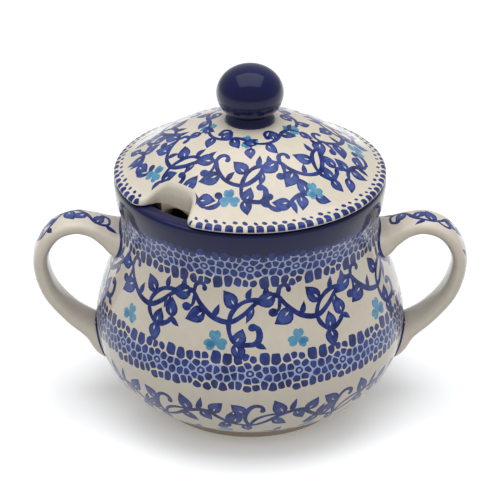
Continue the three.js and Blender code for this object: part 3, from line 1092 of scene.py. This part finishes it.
def lid_decoration():
    """Sprigs round the knob, a ring of scrolls, sprigs and dabs at the rim, all laid over the dome."""
    painting = Painting(21)
    period = 2.0 * math.pi * LID_SCROLL_REACH / LID_SCROLLS
    for number in range(LID_SPRIGS):
        inner_sprig(painting, 360.0 * (number + 0.3) / LID_SPRIGS, 15.8)
    for number in range(LID_SCROLLS):
        crest = math.degrees(LID_PATTERN_START) + 360.0 * (number - 0.02) / LID_SCROLLS
        outer_sprig(painting, crest, 40.4, number % 2 == 1)
    for number in range(LID_SCROLLS):
        stem = ringed(wave(number * period, period, -4.2, 8.2), LID_SCROLL_REACH, LID_PATTERN_START)
        scroll(painting, stem, towards_knob, 1.02, number % 2 == 1, drop=0.64)
    rim_dabs(painting)
    shapes = []
    for outline, paint in painting.shapes:
        along = np.hypot(outline[:, 0], outline[:, 1])
        reach = np.interp(along, DOME_ALONG, DOME[:, 0])
        shapes.append((outline * (reach / np.maximum(along, 1e-6))[:, None], paint))
    return shapes


def matched(ring, places):
    """Points of a ring at (number, share) places."""
    numbers, shares = places
    following = (numbers + 1) % len(ring)
    return ring[numbers] * (1.0 - shares)[:, None] + ring[following] * shares[:, None]


def places_on(outline, points):
    """For each point on a closed outline, the number of the edge it lies on and its share of it."""
    edges = np.roll(outline, -1, axis=0) - outline
    lengths = np.sum(edges**2, axis=1)
    numbers, shares = [], []
    for point in points:
        share = np.clip(np.sum((point - outline) * edges, axis=1) / lengths, 0.0, 1.0)
        gaps = np.sum((outline + edges * share[:, None] - point) ** 2, axis=1)
        best = int(np.argmin(gaps))
        numbers.append(best)
        shares.append(share[best])
    return np.array(numbers), np.array(shares)


def lid(materials):
    """The lid: its painted dome, then the rim, the flange and the hollow under it."""
    rings = lid_rings()
    border = rings[0][:, :2]
    loose = []
    rows = round(LID_RADIUS / GRID)
    for row in range(1, rows + 1):
        radius = (LID_RADIUS - 2.6) * row / rows
        count = max(8, round(2.0 * math.pi * radius / GRID))
        angles = np.linspace(0.0, 2.0 * math.pi, count, endpoint=False) + 0.5 * row
        loose.extend(np.column_stack([radius * np.cos(angles), radius * np.sin(angles)]))
    shapes = [(border, CREAM)] + lid_decoration()
    flat, triangles, paints = painted(shapes, loose)
    surface = Surface()
    surface.add(np.column_stack([flat, dome_height(flat)]), dome_normals(flat))
    surface.faces = list(triangles)
    surface.paints = list(paints)
    loop, edge_paints = edge_loops(triangles, paints)[0]
    places = places_on(border, flat[loop])
    in_notch = np.hypot(*matched(rings[EDGE_RINGS], places)[:, :2].T) < LID_RADIUS - 2.0
    edge_paints = [CREAM if bare else paint for bare, paint in zip(in_notch, edge_paints)]
    ring = loop
    for order, points in enumerate(rings[1:], start=1):
        following = surface.add(matched(points, places))
        # Below the rim the seat and the flange take the bare clay's tan. On the flange this tan is partly
        # a bare flange and partly painted shade, for the shade that falls on the flange inside the notch.
        below = CREAM if order <= RIM_RINGS else CLAY
        surface.strip(ring, following, edge_paints if order <= EDGE_RINGS else below)
        ring = following
    last = matched(rings[-1], places)
    angles = np.arctan2(last[:, 1], last[:, 0])
    surface.lathe(ring, lid_underside(), angles, CREAM)
    return surface.piece("painted_lid", materials)


# ---------------------------------------------------------------- knob


def knob(materials):
    """A thrown ball knob on a short waist."""
    centre = KNOB_TOP - KNOB_HALF_HEIGHT
    foot = [(8.7, KNOB_BASE), (8.75, KNOB_BASE + 0.5), (8.45, KNOB_BASE + 1.3), (7.75, KNOB_BASE + 2.2)]
    waist = [(7.3, KNOB_BASE + 2.9)]
    ball = []
    for step in range(25):
        angle = math.radians(-50.0 + 137.0 * step / 24)
        ball.append((KNOB_BALL * math.cos(angle), centre + KNOB_HALF_HEIGHT * math.sin(angle)))
    outline = smooth(foot + waist + ball[::2], 4)
    turns = np.linspace(0.0, 2.0 * math.pi, 96, endpoint=False)
    surface = Surface()
    radius, height = outline[0]
    x, y = radius * np.cos(turns), radius * np.sin(turns)
    ring = surface.add(np.column_stack([x, y, np.full(len(turns), height)]))
    surface.lathe(ring, [(4.0, KNOB_BASE), (0.0, KNOB_BASE)], turns, COLLAR)
    surface.lathe(ring, [*outline[1:], (0.0, KNOB_TOP)], turns, COLLAR)
    return surface.piece("ball_knob", materials)


# ---------------------------------------------------------------- handles

STRAP_STATIONS = 200
STRAP_PATCH = 17.5  # half width of the painted skin: the outer face and both edges, laid flat
STRAP_PATCH_ANGLE = math.radians(150.0)  # the same, as an angle round the section
STRAP_COLUMNS = 33
STRAP_STARTS = (4.5, 3.5)  # how far in from the ends of the middle line the upper and lower root begin
ROOT_DEPTH = 1.2  # how deep a root goes into the pot's wall
STRAP_CENTRES = smooth(STRAP_SECTIONS, 16)
STRAP_STEPS = np.linalg.norm(np.diff(STRAP_CENTRES[:, :2], axis=0), axis=1)
STRAP_ALONG = np.concatenate([[0.0], np.cumsum(STRAP_STEPS)])
STRAP_LENGTH = STRAP_ALONG[-1]


def strap_point(share, side):
    """A point on the strap's skin. Share runs from root to root, and side is an angle round it."""
    centres = STRAP_CENTRES
    place = share * (len(centres) - 1)
    number = np.minimum(place.astype(int), len(centres) - 2)
    part = (place - number)[:, None]
    here = centres[number] * (1.0 - part) + centres[number + 1] * part
    ahead = np.gradient(centres[:, :2], axis=0)
    ahead /= np.linalg.norm(ahead, axis=1)[:, None]
    way = ahead[number] * (1.0 - part) + ahead[number + 1] * part
    power = 2.0 / STRAP_SQUARENESS
    across = here[:, 2] * np.sign(np.cos(side)) * np.abs(np.cos(side)) ** power
    through = here[:, 3] * np.sign(np.sin(side)) * np.abs(np.sin(side)) ** power
    return np.column_stack([here[:, 0] - way[:, 1] * through, across, here[:, 1] + way[:, 0] * through])


def strap_decoration():
    """A leafy scroll along the handle's outer face. Its x runs from the upper root to the lower one."""
    painting = Painting(31)
    start, end = 17.0, STRAP_LENGTH - 19.0  # clear of both roots
    waves = 3
    period = (end - start) / waves
    for number in range(waves):
        stem = wave(start + number * period, period, -3.1, 6.2)
        painting.ribbon(stem, 1.1, ends=(0.6, 0.9))
        painting.leaves(
            stem,
            [
                (0.04, -70.0, 5.2, 3.2),
                (0.20, 62.0, 5.2, 3.2),
                (0.34, -112.0, 4.0, 1.7),
                (0.46, 96.0, 6.0, 3.6),
                (0.62, -48.0, 5.0, 2.8),
                (0.78, 70.0, 4.6, 1.8),
            ],
        )
        x, y, _ = painting.along(stem, 0.52)
        painting.curl((x, y), -50.0, [(2.6, 36.0), (2.6, 96.0), (1.6, 60.0)], 1.1, bud=0.85)
    painting.curl((start, 3.1), 178.0, [(3.0, 24.0), (3.4, 90.0), (2.6, 80.0)], 1.1, bud=0.85)
    painting.leaf(start - 3.2, 2.6, 160.0, 4.6, 1.9)
    painting.leaf(end, 3.1, -14.0, 6.0, 3.4)
    return painting.shapes


POT_SIDE = smooth(POT_OUTSIDE)


def off_pot(points):
    """How far points stand off the pot's side, in millimetres."""
    x, y, z = np.transpose(points)
    return np.hypot(x, y) - np.interp(z, POT_SIDE[:, 1], POT_SIDE[:, 0])


def rooted(points):
    """The same points, moved out where they go too deep into the pot's wall."""
    reach = np.hypot(points[:, 0], points[:, 1])
    extra = np.maximum(-ROOT_DEPTH - off_pot(points), 0.0)
    return points * np.column_stack([1.0 + extra / reach, 1.0 + extra / reach, np.ones(len(points))])


def strap_skin(stations, sides):
    """Points on the strap at distances along its middle line and at angles round its section."""
    shares = np.linspace(0.0, 1.0, len(STRAP_CENTRES))
    return rooted(strap_point(np.interp(stations, STRAP_ALONG, shares), sides))


def patch_skin(flat):
    """Points on the strap for points of the painted patch."""
    return strap_skin(flat[:, 0], math.pi / 2.0 - flat[:, 1] / STRAP_PATCH * STRAP_PATCH_ANGLE)


def root_line(stations):
    """The outline of the dark brush line at one root. The stations run from that root's end."""
    edge = []
    for across in np.linspace(-STRAP_PATCH, STRAP_PATCH, 49):
        line = patch_skin(np.column_stack([stations, np.full(len(stations), across)]))
        clear = off_pot(line) - ROOT_LINE_ON_STRAP
        last = int(np.argmax(clear > 0.0))
        share = clear[last - 1] / (clear[last - 1] - clear[last])
        reach = stations[last - 1] + share * (stations[last] - stations[last - 1])
        if abs(across) > STRAP_PATCH - 0.01:
            reach = stations[last]  # the line's ends lie where the patch meets the rest of the skin
        edge.append((reach, across))
    outline = [(stations[0], -STRAP_PATCH)] + edge + [(stations[0], STRAP_PATCH)]
    return outline if stations[0] < stations[-1] else outline[::-1]


def strap_patch(stations, inner):
    """The painted patch in the flat: its points, its triangles and their paints."""
    lower = [(station, -STRAP_PATCH) for station in stations]
    far = [(stations[-1], column) for column in inner]
    upper = [(station, STRAP_PATCH) for station in stations[::-1]]
    near = [(stations[0], column) for column in inner[::-1]]
    half = STRAP_STATIONS // 2
    shapes = [(np.array(lower + far + upper + near), CREAM)] + strap_decoration()
    shapes.append((np.array(root_line(stations[:half])), COBALT))
    shapes.append((np.array(root_line(stations[:half:-1])), COBALT))
    loose = [(station, column) for station in stations[1:-1] for column in inner]
    return painted(shapes, loose)


def strap_handle(name, materials, turned):
    """A pulled strap. Its outer face and edges are a painted patch, and the rest is plain glaze."""
    stations = np.linspace(STRAP_STARTS[0], STRAP_LENGTH - STRAP_STARTS[1], STRAP_STATIONS + 1)
    inner = np.linspace(-STRAP_PATCH, STRAP_PATCH, STRAP_COLUMNS)[1:-1]
    flat, triangles, paints = strap_patch(stations, inner)
    surface = Surface()
    surface.add(patch_skin(flat))
    surface.faces = list(triangles)
    surface.paints = list(paints)
    numbers = {(round(x, 2), round(y, 2)): number for number, (x, y) in enumerate(flat)}

    def on_border(station, column):
        """The number of a point on the patch's border, which the cutting rounded to 32 bits."""
        return numbers[(round(float(np.float32(station)), 2), round(float(np.float32(column)), 2))]

    first_side = math.pi / 2.0 + STRAP_PATCH_ANGLE
    last_side = 2.5 * math.pi - STRAP_PATCH_ANGLE
    back = np.linspace(first_side, last_side, 8)[1:-1]
    rows = []
    for station in stations:
        row = surface.add(strap_skin(np.full(len(back), station), back))
        rows.append([on_border(station, -STRAP_PATCH)] + row + [on_border(station, STRAP_PATCH)])
    for previous, row in zip(rows, rows[1:]):
        for left, right, above, below in zip(previous, previous[1:], row[1:], row):
            surface.faces.append((left, right, above, below))
            middle = np.mean([surface.points[corner] for corner in surface.faces[-1]], axis=0)
            surface.paints.append(COBALT if off_pot(middle) < ROOT_LINE_ON_STRAP else CREAM)
    for row, station in ((rows[0], stations[0]), (rows[-1], stations[-1])):
        surface.faces.append(tuple(row + [on_border(station, column) for column in inner[::-1]]))
        surface.paints.append(CREAM)
    return surface.piece(name, materials, turned)


# ---------------------------------------------------------------- materials


def node(tree, kind, **values):
    """Adds a shader node and sets its inputs by name."""
    made = tree.nodes.new(kind)
    for name, value in values.items():
        made.inputs[name.replace("_", " ")].default_value = value
    return made


def glaze(name, colour, shade, mottle, contrast, coat, index, roughness=0.3, bump=0.04):
    """A pigment or clay under a clear gloss glaze. Colour turns to shade in soft patches.

    Mottle is the scale of the finer patches, a higher contrast number means softer ones, coat is the
    weight of the gloss and index its refraction.
    """
    material = bpy.data.materials.new(name)
    material.use_nodes = True
    tree = material.node_tree
    shader = tree.nodes["Principled BSDF"]
    place = tree.nodes.new("ShaderNodeTexCoord")
    wide = node(tree, "ShaderNodeTexNoise", Scale=70.0, Detail=3.0, Roughness=0.5)
    fine = node(tree, "ShaderNodeTexNoise", Scale=mottle, Detail=4.0, Roughness=0.6)
    tree.links.new(place.outputs["Object"], wide.inputs["Vector"])
    tree.links.new(place.outputs["Object"], fine.inputs["Vector"])
    mixed = node(tree, "ShaderNodeMath", Value=0.5)
    mixed.operation = "MULTIPLY_ADD"
    tree.links.new(fine.outputs["Fac"], mixed.inputs[0])
    mixed.inputs[1].default_value = 0.65
    scaled = tree.nodes.new("ShaderNodeMath")
    scaled.operation = "MULTIPLY"
    scaled.inputs[1].default_value = 0.35
    tree.links.new(wide.outputs["Fac"], scaled.inputs[0])
    tree.links.new(scaled.outputs["Value"], mixed.inputs[2])
    ramp = tree.nodes.new("ShaderNodeValToRGB")
    ramp.color_ramp.elements[0].position = 0.5 - 0.25 * contrast
    ramp.color_ramp.elements[1].position = 0.5 + 0.25 * contrast
    ramp.color_ramp.elements[0].color = (*shade, 1.0)
    ramp.color_ramp.elements[1].color = (*colour, 1.0)
    tree.links.new(mixed.outputs["Value"], ramp.inputs["Fac"])
    tree.links.new(ramp.outputs["Color"], shader.inputs["Base Color"])
    skin = node(tree, "ShaderNodeTexNoise", Scale=260.0, Detail=2.0, Roughness=0.5)
    tree.links.new(place.outputs["Object"], skin.inputs["Vector"])
    relief = node(tree, "ShaderNodeBump", Strength=bump, Distance=0.0006)
    tree.links.new(skin.outputs["Fac"], relief.inputs["Height"])
    tree.links.new(relief.outputs["Normal"], shader.inputs["Normal"])
    tree.links.new(relief.outputs["Normal"], shader.inputs["Coat Normal"])
    shader.inputs["Roughness"].default_value = roughness
    shader.inputs["Specular IOR Level"].default_value = 0.1
    shader.inputs["Coat Weight"].default_value = coat
    shader.inputs["Coat Roughness"].default_value = 0.05
    shader.inputs["Coat IOR"].default_value = index
    return material


def linear(red, green, blue):
    """The linear light of a colour in 0-255 display values."""
    return tuple(((c / 255.0 + 0.055) / 1.055) ** 2.4 for c in (red, green, blue))


def brush_glaze(name, colour, shade, mottle, contrast):
    """A thin painted pigment, whose clear glaze is less glossy than the plain one."""
    return glaze(name, colour, shade, mottle, contrast, coat=0.7, index=1.34)


def watery_glaze(name, colour, shade):
    """The turquoise of the clovers, uneven like a wet wash."""
    return glaze(name, colour, shade, 500.0, 0.7, coat=0.8, index=1.38)


MATERIALS = {
    CREAM: glaze(
        "cream_glaze", linear(208, 199, 184), linear(197, 186, 169), 300.0, 1.2, coat=0.8, index=1.38
    ),
    # Bare clay of the foot and the lid's seat; on the lid's flange the same tan also serves as painted
    # shade.
    CLAY: glaze(
        "bare_clay_and_flange_shade",
        linear(160, 145, 128),
        linear(128, 114, 98),
        mottle=1500.0,
        contrast=1.0,
        coat=0.0,
        index=1.45,
        roughness=0.8,
        bump=0.3,
    ),
    COLLAR: glaze(
        "cobalt_glaze", linear(13, 19, 70), linear(8, 11, 48), 200.0, 1.0, coat=1.0, index=1.29
    ),
    COBALT: brush_glaze("cobalt_brush", linear(46, 64, 132), linear(10, 22, 78), 320.0, 0.45),
    SOFT_COBALT: brush_glaze("soft_cobalt_brush", linear(66, 84, 146), linear(28, 44, 108), 320.0, 0.45),
    SKY: watery_glaze("turquoise_brush", linear(100, 154, 178), linear(56, 116, 152)),
    DEEP_SKY: watery_glaze("deep_turquoise_brush", linear(72, 130, 162), linear(40, 100, 140)),
    WASH: brush_glaze("pale_blue_wash", linear(166, 174, 198), linear(142, 154, 186), 500.0, 0.8),
}


def only(*paints):
    """The materials of some paints, by paint."""
    return {paint: MATERIALS[paint] for paint in paints}


# ---------------------------------------------------------------- pieces

BOWL_PAINTS = only(CREAM, COLLAR, COBALT, SOFT_COBALT, SKY, DEEP_SKY, WASH, CLAY)
LID_PAINTS = only(CREAM, COBALT, SOFT_COBALT, SKY, DEEP_SKY, CLAY)
HANDLE_PAINTS = only(CREAM, COBALT, SOFT_COBALT)

bowl_piece = bowl_body(BOWL_PAINTS)
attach(bowl_piece, "bowl")
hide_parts("bowl_body")

for side_name, side_turn in (("right", 0.0), ("left", math.pi)):
    strap = strap_handle(f"strap_handle_{side_name}", HANDLE_PAINTS, side_turn)
    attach(strap, "bowl")
    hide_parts(f"handle_{side_name}")

lid_piece = lid(LID_PAINTS)
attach(lid_piece, "cover")
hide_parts("lid")

knob_piece = knob(only(COLLAR))
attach(knob_piece, "cover")
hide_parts("lid_knob")

# ---------------------------------------------------------------- stage


def floor():
    """A plain pale table top."""
    half = 6.0
    corners = [(-half, -half, 0.0), (half, -half, 0.0), (half, half, 0.0), (-half, half, 0.0)]
    mesh = bpy.data.meshes.new("floor")
    mesh.from_pydata(corners, [], [(0, 1, 2, 3)])
    item = bpy.data.objects.new("floor", mesh)
    bpy.context.scene.collection.objects.link(item)
    paper = bpy.data.materials.new("pale_floor")
    paper.use_nodes = True
    shader = paper.node_tree.nodes["Principled BSDF"]
    shader.inputs["Base Color"].default_value = (0.97, 0.97, 0.97, 1.0)
    shader.inputs["Roughness"].default_value = 0.9
    shader.inputs["Specular IOR Level"].default_value = 0.1
    shader.inputs["Emission Color"].default_value = (1.0, 1.0, 1.0, 1.0)
    shader.inputs["Emission Strength"].default_value = 0.1
    mesh.materials.append(paper)
    return item


# The lights: place, size and power. Only the first one shows in the gloss, as one soft window.
OVERHEAD_SIZE = (1.4, 1.08)
WINDOW = ((0.0, 0.03, 1.2), OVERHEAD_SIZE, 7.0)
FILLS = {
    "ceiling_light": ((0.0, 0.03, 1.3), OVERHEAD_SIZE, 7.4),
    "front_fill": ((0.0, -1.4, 0.5), (1.0, 0.5), 2.6),
    "left_fill": ((-1.0, -0.5, 0.6), (0.5, 0.8), 1.3),
    "right_fill": ((1.0, -0.5, 0.6), (0.5, 0.8), 1.3),
}
LIGHT_AIM = Vector((0.0, 0.0, 0.06))


def soft_light(name, place, size, power):
    """A rectangular soft light that faces the middle of the bowl."""
    data = bpy.data.lights.new(name, "AREA")
    data.shape = "RECTANGLE"
    data.size, data.size_y = size
    data.energy = power
    item = bpy.data.objects.new(name, data)
    bpy.context.scene.collection.objects.link(item)
    item.location = place
    item.rotation_euler = (LIGHT_AIM - Vector(place)).to_track_quat("-Z", "Y").to_euler()
    return item


def studio():
    """Soft light from all round and above, with weak fills from the front and the sides."""
    world = bpy.data.worlds.new("studio")
    bpy.context.scene.world = world
    world.use_nodes = True
    background = world.node_tree.nodes["Background"]
    background.inputs["Color"].default_value = (0.96, 0.98, 1.0, 1.0)
    background.inputs["Strength"].default_value = 0.5
    soft_light("top_light", *WINDOW)
    for name, (place, size, power) in FILLS.items():
        fill = soft_light(name, place, size, power)
        fill.visible_glossy = False
        if name == "ceiling_light":
            fill.data.color = (0.95, 0.98, 1.0)


CAMERA_HEIGHT = math.radians(27.6)  # angle above the horizon
CAMERA_DISTANCE = 1.0368
CAMERA_TARGET = Vector((0.0, 0.0, 0.0556))


def camera():
    """Looks down on the bowl's front."""
    data = bpy.data.cameras.new("camera")
    data.sensor_width = 36.0
    data.lens = 216.0
    item = bpy.data.objects.new("camera", data)
    bpy.context.scene.collection.objects.link(item)
    way = Vector((0.0, -math.cos(CAMERA_HEIGHT), math.sin(CAMERA_HEIGHT)))
    item.location = CAMERA_TARGET + CAMERA_DISTANCE * way
    item.rotation_euler = (CAMERA_TARGET - item.location).to_track_quat("-Z", "Y").to_euler()
    bpy.context.scene.camera = item


table = floor()
table.visible_diffuse = False  # the floor throws no light back at the bowl's sides
studio()
camera()
bpy.context.scene.view_settings.view_transform = "Standard"
